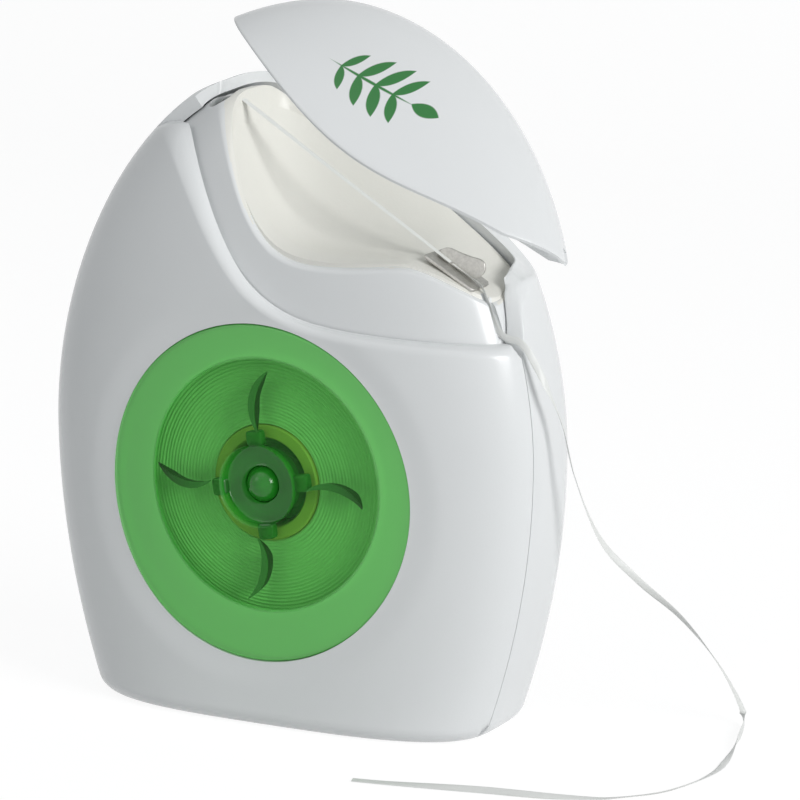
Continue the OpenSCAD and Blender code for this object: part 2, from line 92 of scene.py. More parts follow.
bpy.context.scene.view_settings.view_transform = "Standard"
print("camera at", [round(v, 3) for v in camera.location])

# %% [markdown]
# ## Meshes from arrays
#
# Every new piece is one or more grids of points. `surface` turns grids into one mesh: it numbers
# the points, makes the quads with array arithmetic, welds the points that grids share along their
# borders and turns all faces outwards.
# %% Grids to a mesh
def quads(rows, cols, start, wrap):
    """Corner numbers of the quads of a grid: point (j, i) is start + j * cols + i, and with wrap
    the last column joins the first."""
    j, i = np.meshgrid(np.arange(rows - 1), np.arange(cols if wrap else cols - 1), indexing="ij")
    k = (i + 1) % cols
    corners = [j * cols + i, j * cols + k, (j + 1) * cols + k, (j + 1) * cols + i]
    return (start + np.stack(corners, -1)).reshape(-1, 4)


def surface(name, grids, body=None, nodes=(), sharp=35, weld=0.0008):
    """One mesh from grids given as (points, wrap). Points are (rows, columns, 3) in mm; points
    nearer than weld join, and edges sharper than sharp degrees stay sharp."""
    points, faces, start = [], [], 0
    for p, wrap in grids:
        rows, cols = p.shape[:2]
        points.append(p.reshape(-1, 3))
        faces.append(quads(rows, cols, start, wrap))
        start += rows * cols
    points, faces = np.concatenate(points) * MM, np.concatenate(faces)
    mesh = bpy.data.meshes.new(name)
    mesh.vertices.add(len(points))
    mesh.vertices.foreach_set("co", points.ravel())
    mesh.loops.add(faces.size)
    mesh.loops.foreach_set("vertex_index", faces.ravel().astype(np.int32))
    mesh.polygons.add(len(faces))
    mesh.polygons.foreach_set("loop_start", np.arange(0, faces.size, 4, dtype=np.int32))
    mesh.update(calc_edges=True)
    tidy = bmesh.new()
    tidy.from_mesh(mesh)
    bmesh.ops.remove_doubles(tidy, verts=tidy.verts, dist=weld * MM)
    bmesh.ops.dissolve_degenerate(tidy, edges=tidy.edges, dist=weld * MM * 0.5)
    bmesh.ops.recalc_face_normals(tidy, faces=tidy.faces)
    open_edges = sum(len(e.link_faces) != 2 for e in tidy.edges)
    tidy.to_mesh(mesh)
    tidy.free()
    mesh.polygons.foreach_set("use_smooth", np.ones(len(mesh.polygons), dtype=bool))
    mesh.set_sharp_from_angle(angle=math.radians(sharp))
    piece = bpy.data.objects.new(name, mesh)
    bpy.context.collection.objects.link(piece)
    if body:
        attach(piece, body)
    if nodes:
        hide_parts(*nodes)
    print(name, len(mesh.polygons), "faces, open edges", open_edges)
    return piece


def dress(piece, material):
    """The one finish of a piece."""
    piece.data.materials.clear()
    piece.data.materials.append(material)


# %% [markdown]
# ## The curve tools
#
# The floss follows smooth routes through a few given points, those of the part's source with
# small changes at the right end of the deck. A Catmull-Rom curve passes through each point, and a
# flat tape is carried along it: an ellipse as wide as the floss whose long axis can be turned
# about the route, because real floss tape twists as it hangs.
# %% Routes and tapes
def catmull(points, count):
    """Points at equal steps of the curve parameter. Between two points b and c with neighbours a
    and d it is half of 2b + (c - a) f + (2a - 5b + 4c - d) f^2 + (3b - a - 3c + d) f^3."""
    p = np.array(points, float)
    t = np.linspace(0, len(p) - 1, count)
    i = np.minimum(t.astype(int), len(p) - 2)
    f = (t - i)[:, None]
    a, b, c, d = p[np.maximum(i - 1, 0)], p[i], p[i + 1], p[np.minimum(i + 2, len(p) - 1)]
    return 0.5 * (2 * b + (c - a) * f + (2 * a - 5 * b + 4 * c - d) * f**2 + (3 * b - a - 3 * c + d) * f**3)


def unit(v):
    """Each row divided by its own length."""
    return v / np.maximum(1e-9, np.linalg.norm(v, axis=-1, keepdims=True))


def along(route):
    """Length of the route up to each of its points."""
    return np.r_[0, np.cumsum(np.linalg.norm(np.diff(route, axis=0), axis=1))]


def tape(route, width, thick, turn, up=(0, 0, 1), sides=12):
    """Rings of an ellipse round the route. The side way is route direction x up, and turn (radians,
    one number a ring) rolls the long axis from the side way towards the third way."""
    way = unit(np.gradient(route, axis=0))
    side = unit(np.cross(way, np.array(up, float)))
    rise_way = np.cross(side, way)
    wide = np.cos(turn)[:, None] * side + np.sin(turn)[:, None] * rise_way
    flat = np.cross(way, wide)
    a = np.linspace(0, 2 * np.pi, sides, endpoint=False)
    c, s = np.cos(a)[None, :, None], np.sin(a)[None, :, None]
    rings = route[:, None] + (width / 2 * c * wide[:, None] + thick / 2 * s * flat[:, None])
    ends = [np.repeat(route[k][None, None], sides, axis=1) for k in (0, -1)]
    return np.concatenate([ends[0], rings, ends[1]])


# %% [markdown]
# ## The drawn floss
#
# The free length leaves the cutter, drops over the low end of the deck, hangs beside the case and
# ends lying on the table. The photograph shows all of it, so its length is measured on this
# route: about 130 mm. It is a limp flat tape, 0.8 mm wide. Where it lies on the table it is
# brought down until the tape itself touches, and it rolls slowly all the way.
# %% Free floss tail
floss_w, floss_t = 0.8, 0.13
over_deck = [[20.3, -2.7, 53.6], [22.4, -2.9, 52.4], [24, -3.1, 51.4], [24.85, -3.3, 49.8],
             [25.55, -3.45, 48.1], [26.35, -3.55, 46.75], [27.4, -3.6, 46.05], [28.7, -3.6, 45.85]]
hanging = [[29.7, -3.6, 45.05], [30.5, -3.5, 43.8], [32.1, -3.2, 40.8], [33.2, -1.6, 36.5], [34, 0, 30.5],
           [35.8, 3, 23], [39.2, 6, 18], [43, 9, 13.6], [46, 12.5, 8], [47.6, 15.4, 2.8], [48.2, 15.6, 0.7]]
lying = [[49.4, 12, 0.5], [51.2, 5, 0.5], [52.4, -3, 0.5], [51.4, -10, 0.5], [48.6, -14.5, 0.5],
         [41.4, -19, 0.5], [33, -21, 0.5], [25.8, -22.4, 0.5], [18.8, -23.6, 0.5]]
tail_count, table_bend, bend_spread = 420, 288, 30
tail_route = catmull(over_deck + hanging + lying, tail_count)
near_bend = np.exp(-(((np.arange(1, tail_count - 1) - table_bend) / bend_spread) ** 2))[:, None]
for _ in range(14):  # evens out the tight bend where it meets the table
    tail_route[1:-1] += 0.5 * near_bend * ((tail_route[2:] + tail_route[:-2]) / 2 - tail_route[1:-1])
tail_s = along(tail_route)
on_table = np.clip((tail_s - 72) / 10, 0, 1)
twist, ripple = 2.4 * np.sin(tail_s / 17), np.sin(tail_s / 5.5)
tail_turn = 0.25 + twist * (1 - 0.8 * on_table) + 0.5 * on_table * ripple
half_high = np.abs(np.sin(tail_turn)) * floss_w / 2 + floss_t / 2
tail_z = tail_route[:, 2]
tail_route[:, 2] = np.where(tail_s > 74, np.maximum(half_high + 0.03, tail_z - 0.4 * on_table), tail_z)
tail_tape = tape(tail_route, floss_w, floss_t, tail_turn)
floss_tail = surface("floss_tail_tape", [(tail_tape, True)], "case", ["floss_tail"])
tuple(tail_route[0] * MM)
[tuple(p) for p in tail_route * MM]

# %% [markdown]
# ## The floss inside and over the deck
#
# From the winding the tape climbs inside the case, comes out of the slot at the top left of the
# deck, bends over its lip and runs taut and straight down to the cutter. On the lip it lies flat.
# %% Inner run and deck span
def laid_tape(points, count, turn_from, turn_to):
    """A tape through points whose roll changes evenly along it."""
    turn = np.linspace(turn_from, turn_to, count)
    return tape(catmull(points, count), floss_w, floss_t, turn, up=(0, 1, 0))


inner_points = [[-15.2, 1.6, 31], [-13.2, 0.8, 42], [-11.2, -0.4, 53], [-9.9, -1.2, 62], [-9.5, -1.6, 66.4]]
span_points = [[-9.5, -1.6, 66.6], [-9.6, -1.8, 69], [-8.8, -1.9, 70.3], [-7.4, -1.9, 70.5],
               [-5.8, -1.9, 69.7], [4, -2.2, 63.6], [14, -2.5, 57.5], [20, -2.7, 53.8]]
inner_run = surface("floss_inner_tape", [(laid_tape(inner_points, 60, 0.2, 1.2), True)],
                    "case", ["floss_inner_run"])
deck_span = surface("floss_deck_tape", [(laid_tape(span_points, 160, 1.2, 1.6), True)],
                    "case", ["floss_deck_span"])

# %% [markdown]
# ## The case surface
#
# One formula gives the whole outside of the dispenser. A level of the case is a rounded slice
# whose half width and half depth depend on the height; the upper outline closes like a super
# ellipse, so the crown is round. `o` is how far inside the outer face a surface lies, so the same
# formula gives outer skins, inner walls, the neck and the window.
# %% Case formula
body_w, body_h, body_d, base_w = 62, 75, 22, 50
belly_z, edge_r, wall, seam_y = 32, 2, 1.6, -3.5  # widest level, lower edge, wall, side seams
n_front, n_back, n_up = 3, 4, 1.9  # how square the front, the back and the upper outline are


def ramp(v):
    """0 below 0, 1 above 1, and t^2 (3 - 2t) between."""
    t = np.clip(v, 0, 1)
    return t * t * (3 - 2 * t)


def rise(z, o):
    """0 at the belly, 1 at the crown."""
    return np.clip((z - belly_z) / (body_h - o - belly_z), 0, 1)


def edge_in(z, o):
    """How far the rounded lower edge draws in: r - sqrt(r^2 - d^2)."""
    r = np.maximum(0.4, edge_r - o)
    d = np.maximum(0, r - np.maximum(0, z - o))
    return r - np.sqrt(np.maximum(0, r * r - d * d))


def half_w(z, o):
    """Half the width of a level."""
    narrowing = (body_w - base_w) / 2 * np.maximum(0, 1 - z / belly_z) ** 2
    return body_w / 2 - o - edge_in(z, o) - narrowing


def half_d(z, o):
    """Half the depth of a level."""
    return body_d / 2 - o - edge_in(z, o)


def case(z, a, o=0.0):
    """Point of the case at height z and turn a (0 at the right, anticlockwise from above)."""
    z, a, o = np.broadcast_arrays(np.asarray(z, float), np.asarray(a, float), np.asarray(o, float))
    up, deep = rise(z, o), half_d(z, o)
    n = np.where(np.sin(a) > 0, n_back, n_front)
    reach = deep * np.maximum(0, 1 - up**n) ** (1 / n)
    y = reach * np.sign(np.sin(a)) * np.abs(np.sin(a)) ** (2 / n)
    r = np.maximum(0, 1 - (np.abs(y) / deep) ** n) ** (1 / n)
    x = np.sign(np.cos(a)) * half_w(z, o) * np.maximum(0, r**n_up - up**n_up) ** (1 / n_up)
    return np.stack([x, y, z], -1)


def front_y(x, z, o=0.0):
    """Depth of the front face over a place (x, z)."""
    r = ((np.abs(x) / half_w(z, o)) ** n_up + rise(z, o) ** n_up) ** (1 / n_up)
    return -half_d(z, o) * np.maximum(0, 1 - r**n_front) ** (1 / n_front)


def seam_turn(z, o, y):
    """The turn at which a level crosses the plane y in front."""
    reach = half_d(z, o) * np.maximum(0.001, 1 - rise(z, o) ** n_front) ** (1 / n_front)
    return np.arcsin(np.minimum(1, (y / reach) ** (n_front / 2)))


def halve(f, lo, hi, count=26):
    """Bisection on whole arrays: f is below 0 at lo and above 0 at hi."""
    lo, hi = np.array(lo, float), np.array(hi, float)
    for _ in range(count):
        mid = (lo + hi) / 2
        above = f(mid) > 0
        lo, hi = np.where(above, lo, mid), np.where(above, mid, hi)
    return (lo + hi) / 2


print("crown of the case", case(body_h - 0.01, 0.5).round(2))

# %% [markdown]
# ## The lines on the case
#
# The front shell ends at the shoulder, a curve that climbs to the left. The cap meets the rear
# shell on a sloping surface that falls to the right, with a hanging lip for the thumb in front.
# The deck is scooped: low and flat in front, climbing to the back wall.
# %% Shoulder, joint and deck
joint_z, joint_fall = 64.8, 0.64  # height of the joint over the middle, and its fall to the right
ear_high = 3.5


def shoulder(x):
    """Height of the rim of the front shell."""
    t = np.maximum(0, x + 14)
    return 45 + 18 * np.exp(-((t / 9) ** 1.7)) + 4.5 * np.exp(-t / 18)


def slope(x, y):
    """Height of the sloping parting surface, with the thumb lip that hangs down in front."""
    lip = 5.8 * np.exp(-(((x - 2.4) / 15.6) ** 2)) * np.clip(-y * 2 / body_d, 0, 1)
    return joint_z - joint_fall * x + 0.5 * y - lip


def ear(x, y):
    """The raised right shoulder of the rear shell, behind the side seam."""
    return ear_high * ramp((y + 3.6) / 2.6) * (1 - ramp((y - 1) / 8)) * ramp((x - 16) / 9)


def joint(x, y):
    """Height of the surface on which the cap sits."""
    return slope(x, y) + ear(x, y)


def cap_foot(x, y):
    """Where the shut cap ends: just above the joint, and in front just above the shoulder."""
    return np.maximum(slope(x, y) + np.maximum(ear(x, y), ear(x, y + 0.35)) + 0.3,
                      shoulder(x) + 0.15 - 3 * np.maximum(0, y - seam_y))


def deck(x, y):
    """Height of the scooped deck: a low part with a rounded front edge, a climb to the back and a
    small one to the ear."""
    left_climb, right_fall = np.maximum(0, x + 9) / 5.5, np.maximum(0, x - 15.5)
    front = 52.6 + 18 * np.exp(-(left_climb**1.5)) - 0.035 * right_fall**2
    low = front + 1.5 * (1 - 0.6 * ramp((x - 15) / 8)) * (1 - np.clip((-5.5 - y) / 3.5, 0, 1) ** 2)
    high = joint_z - joint_fall * x + 4 - 1.2
    t = np.maximum(0, (y + 5.5) / 13.5)
    fillet = 0.9 * ramp((x - 22) / 4.5) * ramp((y + 3.4) / 4) * (1 - ramp((y - 1) / 7))
    return low + np.maximum(0, high - low) * t * t + fillet


def roll(d, r):
    """Draw-in of a rounded edge of radius r at distance d from it."""
    k = np.clip(r - d, 0, r)
    return r - np.sqrt(np.maximum(0, r * r - k * k))


print("shoulder at -14, 0, 25:", shoulder(np.array([-14.0, 0, 25])).round(1))

# %% [markdown]
# ## The front shell
#
# A shell with a round hole is easiest as one ring of columns: each column starts on the edge of
# the window opening and ends on the border of the shell, so the hole is a true circle. Near the
# shoulder the skin rolls over with a soft radius, near the side seams with a hair-fine one, and
# round the window it sinks a little into a shallow dish. The columns then go back inside, so
# the wall is closed.
# %% Front shell
window_c, window_r, spool_z = np.array([-0.4, 27.1]), 19.2, 27.9  # the bobbin sits a little higher


def front_skin(f, z, o):
    """Point of the front half: f runs from the left seam (0) round the front to the right seam (1)."""
    a = seam_turn(z, o, -seam_y + 0.05)
    return case(z, a - np.pi + (np.pi - 2 * a) * f, o)


def front_top(f, o):
    """Height of the shoulder over column f."""
    return halve(lambda z: z - shoulder(front_skin(f, z, o)[..., 0]), 40 + 0 * f, 69 + 0 * f)


girth, rim_z = 70, 47  # the unrolled front shell is about this wide and high
middle = np.array([0.5, 0.58])
turns = np.linspace(0, 2 * np.pi, 260, endpoint=False) - np.pi
for f, g in ((0, 0), (1, 0), (1, 1), (0, 1)):
    corner = math.atan2((g - middle[1]) * rim_z, (f - middle[0]) * girth)
    turns[np.abs(turns - corner).argmin()] = corner
turns = np.sort(turns)


def room_to_border(reach, at):
    """How many times reach fits between at and the border at 0 or 1."""
    return np.where(reach > 0, 1 - at, at) / np.maximum(1e-9, np.abs(reach))


reach_f, reach_g = np.cos(turns) / girth, np.sin(turns) / rim_z
room = np.minimum(room_to_border(reach_f, middle[0]), room_to_border(reach_g, middle[1]))
border_f = np.clip(middle[0] + reach_f * room, 0, 1)
border_g = np.clip(middle[1] + reach_g * room, 0, 1)
hole_r = window_r + 0.12
hole_x, hole_z = window_c[0] + hole_r * np.cos(turns), window_c[1] + hole_r * np.sin(turns)
hole_f = halve(lambda f: front_skin(f, hole_z, 0.0)[..., 0] - hole_x, 0 * hole_x, 0 * hole_x + 1)


def front_sheet(o, rows, dish=0.0, lip=0.0, seam=0.0, low=0.0):
    """Rows from the window opening out to the border at depth o. dish is how far the skin sinks
    round the window; lip and seam are the radii at the shoulder and at the side seams."""
    t = rows[:, None]
    f = hole_f + (border_f - hole_f) * t
    top = front_top(border_f, o)
    z = hole_z + (low + (top - low) * border_g - hole_z) * t
    away = np.hypot(front_skin(f, z, o)[..., 0] - window_c[0], z - window_c[1]) - window_r
    more = dish * (1 - ramp(away / 3.6)) + roll(front_top(f, o) - z, lip) if lip else 0 * z
    if seam:
        more = more + roll(np.abs(front_skin(f, z, o)[..., 1]) + seam_y, seam)
    return front_skin(f, z, o + more)


steps = np.linspace(0, 1, 64)
out_rows = steps - 0.12 * np.sin(2 * np.pi * steps)
outer = front_sheet(0.0, out_rows, dish=0.3, lip=1.25, seam=0.16)
inner = front_sheet(wall, np.linspace(0, 1, 22), low=wall)
inner[0, :, 0], inner[0, :, 2] = hole_x, hole_z
inner[0, :, 1] = front_y(hole_x, hole_z, wall)
share = np.linspace(0, 1, 4)[:, None, None]
rim = outer[-1] + (inner[-1] - outer[-1]) * share
foot = border_g < 1e-6
chord = np.stack([outer[-1][:, 0], 0 * border_f + seam_y - 0.05, 0 * border_f], -1)
rim[1][foot] = chord[foot]
rim[2][foot] = (chord + [0, 0, wall])[foot]
hole_wall = np.stack([inner[0], outer[0]])
front_grids = [(grid, True) for grid in (outer, rim, inner[::-1], hole_wall)]
front_shell = surface("front_case_shell", front_grids, "case", ["front_shell"])

# %% [markdown]
# ## The rear shell
#
# The back half is a plain grid: columns from the right seam round the back to the left seam, rows
# from the base to the joint. Its borders are closed with strips that share their end rows with the
# outer and the inner skin, so the weld makes one wall. The rim is rounded on both sides of the ear,
# the raised right shoulder. Inside stands the hollow post on which the bobbin turns.
# %% Rear shell
def rear_skin(f, z, o):
    """Point of the back half: f runs from the right seam (0) round the back to the left seam (1)."""
    a = seam_turn(z, o, -seam_y - 0.05)
    return case(z, -a + (np.pi + 2 * a) * f, o)


def rear_top(f, o):
    """Height of the joint over column f, less 0.1 mm and a shallow dip where the shut cap rubs."""
    def over(z):
        x, y = rear_skin(f, z, o)[..., 0], rear_skin(f, z, o)[..., 1]
        dip = 0.35 * np.exp(-(((x + 10.3) / 1.6) ** 2) - ((y - 0.8) / 1.6) ** 2)
        return z - joint(x, y) + 0.1 + dip
    return halve(over, 42 + 0 * f, body_h - o - 0.2 + 0 * f)


def strip(a, b):
    """The two border rows of a strip of straight quads."""
    return np.stack([a, b])


def closing(count, pull):
    """Places from 0 to 1, closer together at both ends: s - pull sin(2 pi s)."""
    s = np.linspace(0, 1, count)
    return s - pull * np.sin(2 * np.pi * s)


columns = closing(190, 0.1)
rows_r = closing(100, 0.135)[:, None]
top_r = rear_top(columns, 0.0)
rim_at = rear_skin(columns, top_r, 0.0)
rim_r = 0.3
ear_soft = 0.45 * ear(rim_at[:, 0], rim_at[:, 1]) / ear_high
top_r = np.where(ear_soft > 0.01, np.minimum(top_r, rear_top(columns, rim_r + ear_soft)), top_r)
z_r = top_r * rows_r
first = rear_skin(columns, z_r, 0.0)
far = 9  # beyond the reach of the seam's radius
seam_soft = roll(np.where(first[..., 1] > seam_y + 1, far, np.abs(first[..., 1] - seam_y)), 0.16)
outer_r = rear_skin(columns, z_r, roll(top_r - z_r, rim_r + ear_soft) + seam_soft)
top_in = rear_top(columns, wall - ear_soft)
z_in = wall + (top_in - wall) * rows_r
inner_r = rear_skin(columns, z_in, wall - roll(top_in - z_in, ear_soft))
chord_out = np.stack([outer_r[0, :, 0], 0 * columns + seam_y + 0.05, 0 * columns], -1)
chord_in = np.stack([inner_r[0, :, 0], 0 * columns + seam_y + 0.05, wall + 0 * columns], -1)


def lathe(profile, sides=120):
    """A profile of (radius, distance in front of the middle) turned about the bobbin's axis."""
    r, d = np.array(profile, float).T[..., None]
    a = np.linspace(0, 2 * np.pi, sides, endpoint=False)
    return np.stack([window_c[0] + r * np.cos(a), -d + 0 * a, spool_z + r * np.sin(a)], -1)


rear_grids = [outer_r, inner_r, strip(outer_r[-1], inner_r[-1]), strip(outer_r[:, 0], inner_r[:, 0]),
              strip(outer_r[:, -1], inner_r[:, -1]), strip(outer_r[0], chord_out),
              strip(chord_out, chord_in), strip(inner_r[0], chord_in)]
rear_shell = surface("rear_case_shell", [(grid, False) for grid in rear_grids], "case", ["rear_shell"])
post_profile = [[0, -3.9], [2.25, -3.9], [2.25, 3.0], [2.35, 3.2], [4.6, 3.2], [4.85, 3.0],
                [4.85, -4.8], [7.4, -4.8], [7.4, -9.7], [0, -9.7]]
post = surface("bobbin_post", [(lathe(post_profile), True)], "case")

# %% [markdown]
# ## The neck insert
#
# Behind the shoulder a second wall is set back, and the scooped deck closes it on top. Both are
# one moulding, so both are one grid: rows up the wall, over its soft edge and across the deck to
# a middle point. The slot where the floss comes out and its groove at the right edge are cut out
# afterwards with Boolean modifiers, because their walls are crisp. What lies hidden under the
# cutter is left whole.
# %% Boolean carving
def block(kind, place, size, turn=(0, 0, 0)):
    """A cutting body in mm: a box of full size (x, y, z), or a cylinder of radius x and length z."""
    mesh = bpy.data.meshes.new("cutting_body")
    shape = bmesh.new()
    if kind == "box":
        bmesh.ops.create_cube(shape, size=1)
        bmesh.ops.scale(shape, vec=Vector(size) * MM, verts=shape.verts)
    else:
        bmesh.ops.create_cone(shape, cap_ends=True, segments=40, radius1=size[0] * MM,
                              radius2=size[0] * MM, depth=size[2] * MM)
    bmesh.ops.rotate(shape, matrix=Euler(turn).to_matrix(), verts=shape.verts)
    bmesh.ops.translate(shape, vec=Vector(place) * MM, verts=shape.verts)
    shape.to_mesh(mesh)
    shape.free()
    body = bpy.data.objects.new("cutting_body", mesh)
    bpy.context.collection.objects.link(body)
    return body


def carve(piece, cutters, sharp=35):
    """Cuts bodies out of a piece, then deletes them."""
    for cutter in cutters:
        cut = piece.modifiers.new("cut", "BOOLEAN")
        cut.operation, cut.solver, cut.object = "DIFFERENCE", "EXACT", cutter
    done = bpy.data.meshes.new_from_object(piece.evaluated_get(bpy.context.evaluated_depsgraph_get()))
    piece.modifiers.clear()
    piece.data = done
    for cutter in cutters:
        bpy.data.objects.remove(cutter)
    done.polygons.foreach_set("use_smooth", np.ones(len(done.polygons), dtype=bool))
    done.set_sharp_from_angle(angle=math.radians(sharp))
    print(piece.name, "carved,", len(done.polygons), "faces")


# %% Neck insert
neck_columns = 230
around = (np.arange(neck_columns) + 0.5) / neck_columns * 2 * np.pi
middle_xy = np.array([8.0, 0.0])


def neck_wall(o, rows, down):
    """Rows of the wall from its foot behind the front shell up to the deck."""
    flat = 0 * around
    low = halve(lambda z: z - shoulder(case(z, around, o)[..., 0]) + 2.5, 38 + flat, 68 + flat)
    high = halve(lambda z: z - deck(case(z, around, o)[..., 0], case(z, around, o)[..., 1]) + down,
                 46 + flat, body_h - o - 0.1 + flat)
    z = low + (high - low) * rows[:, None]
    edge = case(high, around, o)
    soft = 0.7 - 0.45 * ear(edge[:, 0], edge[:, 1]) / ear_high if down == 0 else 0
    return case(z, around, o + roll(high - z, soft)), edge


def neck_deck(edge, t, down):
    """Rows of the deck from its border (0) to the middle point (1)."""
    x = edge[:, 0] + (middle_xy[0] - edge[:, 0]) * t[:, None]
    y = edge[:, 1] + (middle_xy[1] - edge[:, 1]) * t[:, None]
    return np.stack([x, y, deck(x, y) - down], -1)


set_back, neck_wall_t = 1.8, 1.4
wall_rows = 1 - (1 - np.linspace(0, 1, 44)) ** 1.6
neck_outer, _ = neck_wall(set_back, wall_rows, 0)
neck_inner, inner_edge = neck_wall(set_back + neck_wall_t, np.linspace(0, 1, 16), neck_wall_t)
deck_out = neck_deck(neck_outer[-1], np.linspace(0, 1, 70) ** 1.25, 0)
deck_out[0] = neck_outer[-1]  # the wall's own last row, so that both grids weld
deck_in = neck_deck(inner_edge, np.linspace(0, 1, 20), neck_wall_t)
neck_foot = strip(neck_outer[0], neck_inner[0])
neck_grids = [(grid, True) for grid in (neck_outer, deck_out, neck_inner, deck_in, neck_foot)]
neck = surface("neck_and_deck", neck_grids, "case", ["neck_insert"])
slot_x, slot_z, slot_end, tall = -8.9, 68, 1.5, 16
groove_way = (0, math.atan2(2.5, -5), math.atan2(-0.35, 2.5))
slot = [block("box", (slot_x, -0.8, slot_z), (3, 3.6, tall))]
slot += [block("cylinder", (slot_x, y, slot_z), (slot_end, 0, tall)) for y in (-2.6, 1)]
carve(neck, slot + [block("cylinder", (25.5, -3.4, 48.7), (0.48, 0, 6), turn=groove_way)])

# %% [markdown]
# ## The cap
#
# The cap is the top of the same case surface, so it is drawn shut and then turned back about the
# hinge line by 44 degrees. Its rows lie closer near the rim and near the crown. A small notch in
# the rim lets the drawn floss out when the cap is shut.
# %% Cap
def cap_skin(o, rows, rounding=0.0):
    """Rows of the cap from the rim to the crown at depth o."""
    a = np.linspace(0, 2 * np.pi, 260, endpoint=False)
    top = body_h - o

    def over(z):
        p = case(z, a, o)
        return z - cap_foot(p[..., 0], p[..., 1])
    low = halve(over, 40 + 0 * a, top - 0.1 + 0 * a)
    z = top - (top - low) * (1 - rows[:, None]) ** 2
    return case(z, a, o + roll(z - low, rounding))


def turn_about(p, pivot, axis, degrees):
    """Turns points about a line: v cos + (k x v) sin + k (k . v) (1 - cos)."""
    angle, k = math.radians(degrees), np.array(axis, float) / np.linalg.norm(axis)
    c, s, v = math.cos(angle), math.sin(angle), p - pivot
    return pivot + v * c + np.cross(k, v) * s + k * (v @ k)[..., None] * (1 - c)


hinge, cap_open, cap_wall = np.array([8, 9.609, 64.484]), 44, 1.5
tilt = math.atan(joint_fall)
hinge_axis = np.array([math.cos(tilt), 0, -math.sin(tilt)])
cap_outer = cap_skin(0.0, np.linspace(0, 1, 84) ** 1.35, 0.35)
cap_inner = cap_skin(cap_wall, np.linspace(0, 1, 44))
cap_rim = strip(cap_outer[0], cap_inner[0])
cap = surface("tip_back_cap", [(cap_outer, True), (cap_inner, True), (cap_rim, True)], "cap", ["cap"])
carve(cap, [block("box", (28.05, -3.6, 45.75), (4.5, 1.2, 3.5))])
shut = np.empty(len(cap.data.vertices) * 3)
cap.data.vertices.foreach_get("co", shut)
opened = turn_about(shut.reshape(-1, 3) / MM, hinge, hinge_axis, -cap_open)
cap.data.vertices.foreach_set("co", (opened * MM).ravel())
cap.data.update()

# %% [markdown]
# ## The film hinge
#
# A thin strip on the outside of both rims. It bends between the two bodies, so its rows follow
# the case at one end and the cap at the other. In the hinge's own frame a row is given by how far
# it lies along the rim, outwards and up.
# %% Film hinge
across = np.array([0.0, 1.0, 0.0])
upward = np.cross(hinge_axis, across)


def hinge_row(out, up, turned, count=60, half_length=6.5):
    """A row of points along the hinge; turned rows open with the cap."""
    u = np.linspace(-half_length, half_length, count)[:, None]
    p = hinge + u * hinge_axis + out * across + up * upward
    return turn_about(p, hinge, hinge_axis, -cap_open) if turned else p


def fan(row):
    """A row of points and their middle, to close the end of a tube."""
    return np.stack([row, np.repeat(row.mean(0)[None], len(row), 0)])


# (outwards, up, turned)
hinge_profile = [(-0.45, -1.6, 0), (0.1, -1.6, 0), (0.16, -1.4, 0), (0.18, -0.8, 0), (0.18, -0.15, 0),
                 (0.18, 0.2, 1), (0.17, 0.6, 1), (0.1, 1, 1), (-0.15, 1, 1), (-0.01, 0.45, 1),
                 (0.02, 0.12, 1), (-0.12, -0.1, 0), (-0.45, -1.6, 0)]
film_rows = np.stack([hinge_row(*row) for row in hinge_profile])
film_grids = [film_rows, fan(film_rows[:, 0]), fan(film_rows[:, -1])]
hinge_film = surface("film_hinge", [(grid, False) for grid in film_grids], None, ["hinge_film"], sharp=50)
tuple(turn_about(hinge + 0.9 * upward, hinge, hinge_axis, -cap_open) * MM)
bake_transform(hinge_film)

# %% [markdown]
# ## The window
#
# One closed sheet makes the pin, the cup round it, the disc and its flange. Its rings are turned
# about the bobbin's axis near the hub and about the window's own middle at the edge, and further
# out they follow the case surface a little under the shell. Four tabs and four curved fins stand
# behind it; each fin is highest in its middle and thins towards its deep edge.
# %% Window sheet
def window_ring(r, depth=None, o=0.35, shift=0.0, count=220):
    """A ring of radius r at a fixed depth or at a distance o inside the case surface. shift 0
    centres it on the bobbin, 1 on the window."""
    a = np.linspace(0, 2 * np.pi, count, endpoint=False)
    x = window_c[0] + r * np.cos(a)
    z = spool_z + (window_c[1] - spool_z) * shift + r * np.sin(a)
    return np.stack([x, front_y(x, z, o) if depth is None else -depth + 0 * x, z], -1)


def outward(r):
    """Share of the shift from the bobbin's middle to the window's."""
    return float(ramp((r - 5) / 14))


pin_r, pin_d, flange_w = 2.1, 8.3, 0.9
dome = [window_ring(pin_r * math.sin(a), pin_d + pin_r * math.cos(a)) for a in np.linspace(0, np.pi / 2, 14)]
cup_profile = [(2.14, 8.98), (2.4, 8.84), (3.3, 8.82), (4.2, 8.84), (4.42, 8.92), (4.52, 9.1),
               (4.6, 9.8), (4.66, 10.4), (4.7, 10.54), (4.78, 10.62)]
face_radii = np.r_[4.85, 4.95, np.linspace(5.4, 18.6, 46), 18.8, 18.95, 19.05, 19.13, 19.18, window_r]
flange_profile = [(window_r, 1.66), (window_r + flange_w, 1.66), (window_r + flange_w, 2.65),
                  (18.8, 2.65), (18.8, 1.05)]
hub_profile = [(4.9, 9.9), (4.9, 5.8), (4.8, 5.6), (4.0, 5.6), (4.0, 7.4), (pin_r, 7.4), (pin_r, -1.3),
               (1.9, -1.5), (0, -1.5)]
sheet = dome + [window_ring(r, d) for r, d in cup_profile]
sheet += [window_ring(r, None, 0.35 + roll(window_r - r, 0.25) if r < window_r else 0.6, outward(r))
          for r in face_radii]
sheet += [window_ring(r, None, o, 1.0) for r, o in flange_profile]
sheet += [window_ring(r, None, 1.0, outward(r)) for r in np.linspace(18.6, 5.0, 26)]
sheet += [window_ring(r, d) for r, d in hub_profile]
window = surface("window_disc", [(np.stack(sheet), True)], "case", ["window"], sharp=50)


